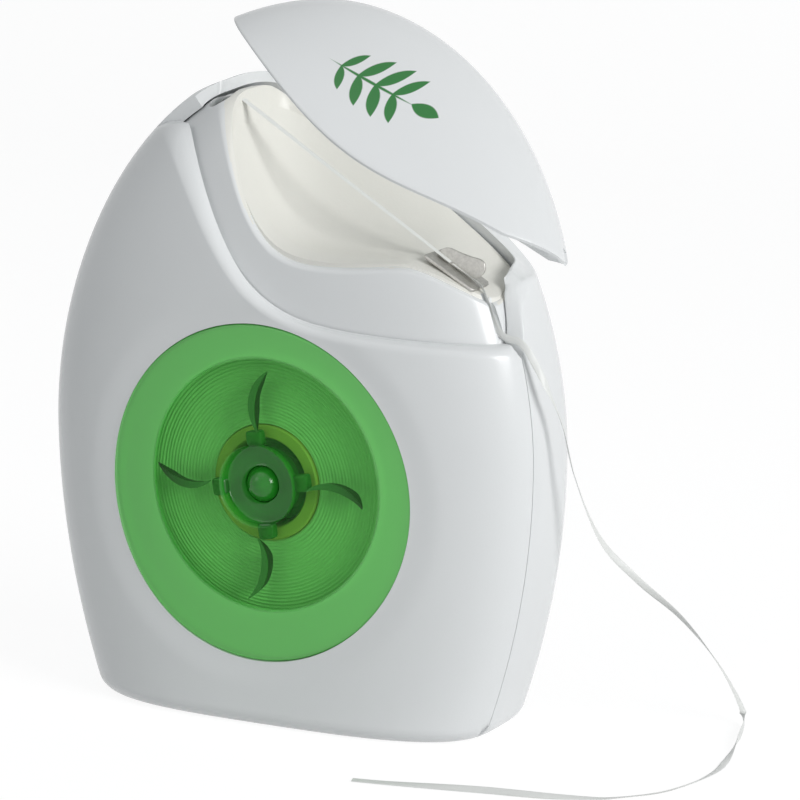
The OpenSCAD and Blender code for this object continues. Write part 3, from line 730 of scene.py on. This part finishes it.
def about_hub(u, v, degrees):
    """Places (u, v) in the disc's own frame, turned about the hub and moved to the bobbin's axis."""
    c, s = math.cos(math.radians(degrees)), math.sin(math.radians(degrees))
    return window_c[0] + (u * c - v * s), spool_z + (u * s + v * c)


def fin(quarter, count=48):
    """A curved rib behind the disc: along s it follows an arc, and it is 2.1 sin(pi s)^0.8 high."""
    s = np.linspace(0, 1, count)
    a = np.radians(37 + 85 * s)
    rows = []
    for side, deep in ((-1, 0), (-0.7, 0.5), (-0.25, 1), (0.25, 1), (0.7, 0.5), (1, 0)):
        r = 5.3 + side * (0.06 + 0.36 * np.sin(np.pi * s))
        x, z = about_hub(8.9 + r * np.cos(a), -4.5 + r * np.sin(a), 90 * quarter)
        front = -front_y(x, z, 0.9)
        back_edge = np.maximum(8.3, front - 0.05 - 2.1 * np.sin(np.pi * s) ** 0.8)
        rows.append(np.stack([x, -(front + (back_edge - front) * deep), z], -1))
    return np.stack(rows)


fins = []
for quarter in range(4):
    rib = fin(quarter)
    fins += [(rib, False), (strip(rib[-1], rib[0]), False), (fan(rib[:, 0]), True), (fan(rib[:, -1]), True)]
ribs = surface("window_fins", fins, "case", sharp=60)


def rounded_box(half_u, half_v, power, count):
    """A rectangle with soft corners: (half_u c|c|^(power - 1), half_v s|s|^(power - 1)) for the
    cosine c and the sine s of a turn. A small power is square."""
    b = np.linspace(0, 2 * np.pi, count, endpoint=False)
    c, s = np.cos(b), np.sin(b)
    return np.stack([half_u * np.sign(c) * np.abs(c) ** power, half_v * np.sign(s) * np.abs(s) ** power], -1)


def tab(quarter):
    """A small flat tab with softened corners over the end of the core."""
    square = rounded_box(0.9, 1, 0.4, 28)
    rings = []
    for d, half in ((8.65, 0.0), (8.65, 0.85), (8.75, 1.0), (9.6, 1.0), (9.75, 0.85), (9.75, 0.0)):
        x, z = about_hub(5.3 + half * square[:, 0], half * square[:, 1], 90 * quarter + 8)
        rings.append(np.stack([x, 0 * x - d, z], -1))
    return np.stack(rings)


tabs = surface("window_tabs", [(tab(q), True) for q in range(4)], "case", sharp=50)

# %% [markdown]
# ## The bobbin
#
# The tan core is a plain ring with softened edges. The wound floss is one turned body whose skin
# carries the fine ridges of the loops; a low wave along each loop keeps them from looking turned
# on a lathe.
# %% Bobbin core and winding
core_profile = [[5.15, -4.3], [5.15, 8.1], [5.3, 8.3], [6.45, 8.3], [6.6, 8.15], [6.6, -4.35],
                [6.45, -4.5], [5.3, -4.5], [5.15, -4.3]]
core = surface("bobbin_core_ring", [(lathe(core_profile), True)], "spool", ["bobbin_core"])
wound_r, wound_front, wound_back = 15.05, 8.0, -4.1
around_w = np.linspace(0, 2 * np.pi, 300, endpoint=False)


def wound(r, d, wave):
    """A ring of the winding whose radius and depth swing slightly with the turn."""
    wobble = wave * (np.sin(3 * around_w + 2.1 * r) + 0.6 * np.sin(7 * around_w + 5 * r))
    out = r + wobble
    return np.stack([window_c[0] + out * np.cos(around_w), -d - wobble, spool_z + out * np.sin(around_w)], -1)


def ridges(deep, phase):
    """How deep the valleys between the loops are: a power of |sin|, running round as a spiral."""
    return deep * np.abs(np.sin(np.pi * phase - around_w / 2)) ** 1.5


loops = [wound(6.62, wound_back, 0), wound(6.62, 7.6, 0)]
loops += [wound(r, wound_front - ridges(0.08, (r - 6.6) / 0.4) - 0.15 * max(0, r - 13.9) ** 2, 0.015)
          for r in np.linspace(6.75, 14.95, 150)]
loops += [wound(wound_r - ridges(0.12, d / 0.8), d, 0.015) for d in np.linspace(7.7, wound_back, 150)]
loops += [wound(6.62, wound_back, 0)]
winding = surface("wound_floss", [(np.stack(loops), True)], "spool",
                  ["floss_pack", "floss_winding"], sharp=80)

# %% [markdown]
# ## The cutter
#
# A stamped steel plate, 7 by 4.6 mm, lies on the deck under the floss. From it rises the tongue
# with a round outline, leaf shaped in the photograph, under whose tip the floss is pulled.
# %% Cutter plate
cutter_at, cutter_tilt = np.array([20.6, -2.3, 52.85]), math.radians(30)


def on_cutter(p):
    """From the plate's own frame to the case: a 30 degree fall to the right."""
    c, s = math.cos(cutter_tilt), math.sin(cutter_tilt)
    u, v, w = np.moveaxis(p, -1, 0)
    return cutter_at + np.stack([u * c + w * s, v, -u * s + w * c], -1)


def plate(outline, low, high, edge=0.06):
    """A flat plate with softened edges from rings round its middle."""
    q = np.array(outline, float)
    mid = q.mean(0)
    rings = []
    for h, inset in ((low, None), (low, edge), (low + edge, 0), (high - edge, 0), (high, edge), (high, None)):
        ring = q * 0 + mid if inset is None else q - inset * unit(q - mid)
        rings.append(np.concatenate([ring, 0 * ring[:, :1] + h], 1))
    return np.stack(rings)


steel_t = 0.35
base_plate = plate(rounded_box(3.5, 2.3, 0.16, 96), -steel_t / 2, steel_t / 2)
tongue_points = [[-2.9, 0], [-2.7, 0.8], [-2, 1.2], [-0.8, 1.4], [0.6, 1.7], [1.6, 1.95], [2.3, 1.9],
                 [2.7, 1.5], [2.75, 1], [2.5, 0.5], [2, 0.2], [1, 0.05], [-1, -0.05]]
tongue_edge = catmull(tongue_points + tongue_points[:1], 120)[:-1]
u, up, through = np.moveaxis(plate(tongue_edge, -0.16, 0.16, 0.05), -1, 0)
tongue = np.stack([u, 0.08 + through + 0.12 * up, 0.1 + 1.25 * up], -1)  # stands up and leans back
legs = [plate(rounded_box(0.17, 0.9, 0.2, 96) + [side * 1.9, 0], -2.3, -0.1, 0.03) for side in (-1, 1)]
cutter = surface("steel_cutter", [(on_cutter(grid), True) for grid in (base_plate, tongue, *legs)],
                 "case", ["cutter_plate"])

# %% [markdown]
# ## Shader arithmetic
#
# `Wire` is a value travelling through a node tree, and Python arithmetic on it adds Math nodes.
# `Finish` is one material, or the world; its `node` method adds any other node. Patterns are
# computed in Object coordinates, so they stay on the piece when it moves.
# %% Wire and Finish
def rgb(r, g, b):
    """Screen colour 0 to 255 as a linear colour: ((v + 0.055) / 1.055)^2.4 above the dark end."""
    v = np.array([r, g, b]) / 255
    return tuple(np.where(v > 0.04045, ((v + 0.055) / 1.055) ** 2.4, v / 12.92)) + (1.0,)


class Wire:
    """A number in a node tree; + - * / ** and < > add Math nodes, also with plain numbers first."""

    def __init__(self, finish, socket):
        self.finish, self.socket = finish, socket

    def math(self, operation, a, b=0.0, clamp=False):
        """One Math node."""
        settings = {"operation": operation, "use_clamp": clamp}
        return self.finish.node("ShaderNodeMath", settings, {0: a, 1: b})

    def __add__(self, v): return self.math("ADD", self, v)
    def __radd__(self, v): return self.math("ADD", v, self)
    def __sub__(self, v): return self.math("SUBTRACT", self, v)
    def __rsub__(self, v): return self.math("SUBTRACT", v, self)
    def __mul__(self, v): return self.math("MULTIPLY", self, v)
    def __rmul__(self, v): return self.math("MULTIPLY", v, self)
    def __truediv__(self, v): return self.math("DIVIDE", self, v)
    def __rtruediv__(self, v): return self.math("DIVIDE", v, self)
    def __pow__(self, v): return self.math("POWER", self, v)
    def __rpow__(self, v): return self.math("POWER", v, self)
    def __lt__(self, v): return self.math("LESS_THAN", self, v)
    def __gt__(self, v): return self.math("GREATER_THAN", self, v)
    def clipped(self): return self.math("ADD", self, 0.0, True)
    def size(self): return self.math("ABSOLUTE", self)


class Finish:
    """A material, or a world, and the nodes in it."""

    def __init__(self, name, kind=bpy.data.materials):
        self.material = kind.new(name)
        self.material.use_nodes = True
        self.material.node_tree.nodes.clear()

    def node(self, kind, settings=None, values=None, out=0):
        """Adds a node, sets it up, fills or links its inputs and returns one output."""
        made = self.material.node_tree.nodes.new(kind)
        for key, value in (settings or {}).items():
            setattr(made, key, value)
        for key, value in (values or {}).items():
            if isinstance(value, Wire):
                self.material.node_tree.links.new(value.socket, made.inputs[key])
            else:
                made.inputs[key].default_value = value
        return Wire(self, made.outputs[out]) if len(made.outputs) else None

    def place(self):
        """Object coordinates in mm as three numbers."""
        spot = self.node("ShaderNodeTexCoord", out="Object")
        apart = self.node("ShaderNodeSeparateXYZ", values={0: spot})
        return [Wire(self, apart.socket.node.outputs[k]) * 1000 for k in range(3)]

    def noise(self, scale, detail=3.0, roughness=0.5):
        """Noise in Object coordinates; scale is in features a metre."""
        spot = self.node("ShaderNodeTexCoord", out="Object")
        values = {"Vector": spot, "Scale": scale, "Detail": detail, "Roughness": roughness}
        return self.node("ShaderNodeTexNoise", {}, values)

    def blend(self, factor, a, b):
        """Mixes two colours."""
        return self.node("ShaderNodeMix", {"data_type": "RGBA"}, {0: factor, 6: a, 7: b}, out=2)

    def bump(self, height, distance, strength=1.0):
        """A Normal from a height."""
        values = {"Height": height, "Distance": distance, "Strength": strength}
        return self.node("ShaderNodeBump", {}, values)

    def close(self, values, see_through=None):
        """The Principled node and the output. see_through = (share of surface, tint)."""
        surface_out = self.node("ShaderNodeBsdfPrincipled", {}, values)
        if see_through:
            clear = self.node("ShaderNodeBsdfTransparent", {}, {"Color": see_through[1]})
            shares = {0: see_through[0], 1: clear, 2: surface_out}
            surface_out = self.node("ShaderNodeMixShader", {}, shares)
        self.node("ShaderNodeOutputMaterial", {}, {"Surface": surface_out})
        return self.material


# %% [markdown]
# ## Finishes
#
# The shells are glossy white plastic with the faintest unevenness of a moulding; the deck is a
# warmer, grainier white. The window is thin green plastic: a share of it is a green surface and
# the rest lets light through with a tint; round the bobbin that surface is fuller and brighter, as
# painted light. The ribs behind it carry painted shade at their deep edge, and the wound floss is
# painted a little darker as shade. The steel is dull and stamped, the floss waxed.
# %% Shell plastics
WHITE, GLOSS = (0.80, 0.815, 0.82, 1), 0.24


def moulded(name, colour, roughness, grain):
    """Glossy plastic: roughness and normal swing slightly with noise."""
    f = Finish(name)
    cloud = f.noise(180, 2.0)
    fine = f.noise(3500, 2.0)
    return f.close({"Base Color": colour, "Roughness": roughness + (cloud - 0.5) * 0.06, "IOR": 1.5,
                    "Normal": f.bump(fine, grain, 0.5)})


shell_white = moulded("shell_white", WHITE, GLOSS, 0.00001)


def leaf(x, z, centre, length, width, turn):
    """1 inside a pointed leaf: |v| < width (1 - (u / length)^2), with u along the leaf."""
    c, s = math.cos(turn), math.sin(turn)
    u = ((x - centre[0]) * c + (z - centre[1]) * s) / length
    v = (z - centre[1]) * c - (x - centre[0]) * s
    edge = (1 - u * u) * width - v.size()
    return (edge * 12).clipped()


def printed_cap():
    """The shell plastic with a small printed sprig of leaves on the front of the cap."""
    f = Finish("cap_white")
    x, y, z = f.place()
    cloud = f.noise(180, 2.0)
    sprig = None
    for u, v, length, width, turn in leaves:
        centre = (sprig_at[0] + 0.9 * u + 0.43 * v, sprig_at[1] - 0.43 * u + 0.9 * v)
        one = leaf(x, z, centre, length, width, turn - 0.45)
        sprig = one if sprig is None else sprig.math("MAXIMUM", sprig, one)
    front = (y < 0.5) * sprig
    colour = f.blend(front, WHITE, rgb(38, 120, 52))
    return f.close({"Base Color": colour, "Roughness": GLOSS + (cloud - 0.5) * 0.06, "IOR": 1.5})


sprig_at = (12.6, 73.6)
leaves = [(0.0, 0.0, 6.0, 0.16, 0.0)]  # the stem, as (along, up, half length, half width, turn)
for step, size in ((-4.2, 0.75), (-2.0, 0.95), (0.2, 1.0), (2.4, 0.9)):
    leaves += [(step + 1.3 * size, side * 1.15 * size, 1.75 * size, 0.62 * size, side * 0.85)
               for side in (1, -1)]
leaves += [(6.6, 0.0, 1.7, 0.6, 0.0)]
for piece in (front_shell, rear_shell, post, hinge_film, neck):
    dress(piece, shell_white)
dress(cap, printed_cap())
neck.data.materials.append(moulded("deck_cream", (0.80, 0.79, 0.74, 1), 0.36, 0.00004))
middles = np.empty(len(neck.data.polygons) * 3)
neck.data.polygons.foreach_get("center", middles)
middles = middles.reshape(-1, 3) / MM
on_deck = middles[:, 2] > deck(middles[:, 0], middles[:, 1]) - 0.25
neck.data.polygons.foreach_set("material_index", on_deck.astype(np.int32))
print("deck faces", int(on_deck.sum()), "of", len(on_deck))

# %% Window, core, floss and steel
def window_green():
    """Green see-through plastic: clearest over the bobbin and dark round the hub. Outside the bobbin
    it is a fuller, brighter green surface: painted light for the lit white wall behind the ring,
    laid over the shade round the winding. The clear zone lies where the photographed view puts
    the bobbin behind the disc."""
    f = Finish("window_green")
    x, _, z = f.place()
    from_hub = ((x - float(window_c[0])) ** 2 + (z - spool_z) ** 2) ** 0.5
    near = ((4.74 - from_hub) * 8).clipped()
    # Painted light: outside this zone the disc is a fuller, brighter green surface, standing in for the lit
    # white wall behind it and covering the shade round the winding.
    zone_x, zone_z, zone_r = 0.6, 28.2, 14.2
    from_zone = ((x - zone_x) ** 2 + (z - zone_z) ** 2) ** 0.5
    outside = ((from_zone - zone_r) / 0.45).clipped()
    over_floss, ring, hub = (0.28, 0.80, 0.26, 1), (0.27, 0.88, 0.24, 1), (0.025, 0.30, 0.025, 1)
    colour = f.blend(near, f.blend(outside, over_floss, ring), hub)
    share, tint = 0.045 + outside * 0.515 + near * 0.715, (0.68, 0.95, 0.65, 1)
    return f.close({"Base Color": colour, "Roughness": 0.12, "IOR": 1.5}, (share, tint))


def fin_green():
    """The ribs: green where they meet the disc, nearly black at the deep edge. The black is partly the
    long path through green plastic and partly painted shade where the rib meets the floss.
    """
    f = Finish("fin_green")
    _, y, _ = f.place()
    # Painted shade: towards its deep edge the rib darkens to nearly black.
    deep = ((y + 10.05) / 0.25).clipped()
    colour = f.blend(deep, rgb(60, 118, 58), (0.0, 0.004, 0.0, 1))
    return f.close({"Base Color": colour, "Roughness": 0.5})


def floss_finish(name, colour, roughness):
    """Waxed floss: fine strands along it show as a faint fine bump."""
    f = Finish(name)
    strands = f.noise(6000, 2.0)
    return f.close({"Base Color": colour, "Roughness": roughness, "IOR": 1.45,
                    "Normal": f.bump(strands, 0.00002, 0.6)})


def steel_finish():
    """Dull stamped steel: stretched noise and a coarser mottle change colour and roughness."""
    f = Finish("brushed_steel")
    spot = f.node("ShaderNodeTexCoord", out="Object")
    drawn = f.node("ShaderNodeMapping", {}, {"Vector": spot, "Scale": (900, 9000, 900)})
    lines = f.node("ShaderNodeTexNoise", {}, {"Vector": drawn, "Scale": 1.0, "Detail": 3.0})
    mottle = f.noise(2600, 3.0, 0.6)
    colour = f.blend(mottle, (0.40, 0.39, 0.37, 1), (0.72, 0.71, 0.67, 1))
    return f.close({"Base Color": colour, "Metallic": 0.8, "Roughness": 0.34 + lines * 0.12 + mottle * 0.14,
                    "Normal": f.bump(lines, 0.00001, 0.6)})


dress(window, window_green())
dress(ribs, fin_green())
dress(tabs, moulded("tab_green", (0.02, 0.15, 0.02, 1), 0.2, 0.00001))
dress(core, moulded("core_tan", (0.78, 0.50, 0.22, 1), 0.5, 0.00002))
# Painted shade: the wound floss is the same floss as the drawn tail, coloured a little darker for the inside
# of the case.
dress(winding, floss_finish("wound_floss_painted_shade", (0.74, 0.76, 0.70, 1), 0.5))
floss_white = floss_finish("floss_white", (0.80, 0.81, 0.79, 1), 0.38)
for piece in (inner_run, deck_span, floss_tail):
    dress(piece, floss_white)
dress(cutter, steel_finish())
print("finishes", len(bpy.data.materials))

# %% [markdown]
# ## Light, floor and backdrop
#
# A white sweep carries the part and takes its shadow. One soft lamp stands to the right, a weaker
# one to the left in front, and a large weak one above in front. The camera and glossy reflections
# see a white world; everything else gets a plain even light. The cap throws no shadow, because
# the real one is milky and lets much light through.
# %% Studio
def lamp(name, place, target, size, power):
    """A square area lamp aimed at a point, all in metres."""
    light = bpy.data.lights.new(name, "AREA")
    light.shape, light.size, light.energy = "SQUARE", size, power
    obj = bpy.data.objects.new(name, light)
    bpy.context.collection.objects.link(obj)
    obj.location = place
    obj.rotation_mode = "QUATERNION"
    obj.rotation_quaternion = (Vector(target) - Vector(place)).to_track_quat("-Z", "Y")


lamp("key_right", (0.66, -0.22, 0.30), (0, 0, 0.035), 0.3, 3.3)
lamp("front_left", (-0.36, -0.52, 0.38), (0, 0, 0.055), 0.3, 0.3)
lamp("above", (-0.12, -0.27, 0.72), (0, 0, 0.06), 0.55, 0.5)
cap.visible_shadow = False


def seen_directly(f):
    """1 for what the camera or a glossy reflection sees, 0 for light that falls on the part."""
    straight = f.node("ShaderNodeLightPath", out="Is Camera Ray")
    mirrored = f.node("ShaderNodeLightPath", out="Is Glossy Ray")
    return (straight + mirrored).clipped()


world = Finish("studio", bpy.data.worlds)
light_level = world.blend(seen_directly(world), (0.235, 0.247, 0.254, 1), (1, 1, 1, 1))
sky = world.node("ShaderNodeBackground", {}, {"Color": light_level})
world.node("ShaderNodeOutputWorld", {}, {"Surface": sky})
bpy.context.scene.world = world.material
print("lamps", len(bpy.data.lights))

# %% Sweep
sweep_s, flat_part, bend_part, bend_r = np.linspace(0, 1, 60), 0.45, 0.2, 150
bend = np.clip((sweep_s - flat_part) / bend_part, 0, 1) * np.pi / 2
sweep_y = np.where(sweep_s < flat_part, -500 + 2000 * sweep_s, 400 + bend_r * np.sin(bend))
sweep_z = bend_r * (1 - np.cos(bend)) + np.maximum(0, sweep_s - flat_part - bend_part) * 2400
sweep_x = np.linspace(-900, 900, 12)
floor_grid = np.stack(np.broadcast_arrays(sweep_x[None, :], sweep_y[:, None], sweep_z[:, None]), -1)
floor = surface("studio_sweep", [(floor_grid - [0, 0, 0.02], False)])
sweep_white = Finish("sweep_white")
plain = sweep_white.node("ShaderNodeBsdfDiffuse", {}, {"Color": (0.82, 0.82, 0.82, 1)})
bright = sweep_white.node("ShaderNodeEmission", {}, {"Color": (1, 1, 1, 1), "Strength": 1.15})
floor_shares = {0: seen_directly(sweep_white) * 0.78, 1: plain, 2: bright}
floor_mix = sweep_white.node("ShaderNodeMixShader", {}, floor_shares)
sweep_white.node("ShaderNodeOutputMaterial", {}, {"Surface": floor_mix})
dress(floor, sweep_white.material)
floor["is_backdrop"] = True

def plain_numbers(value):
    """Any nest of tuples, vectors and arrays as plain lists of numbers."""
    if isinstance(value, dict):
        return {str(k): plain_numbers(v) for k, v in value.items()}
    if hasattr(value, "__len__") and not isinstance(value, str):
        return [plain_numbers(v) for v in value]
    return float(value)


sizes = {"cad_box": plain_numbers(box_before), "visual_box": plain_numbers(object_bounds())}
print(sizes)
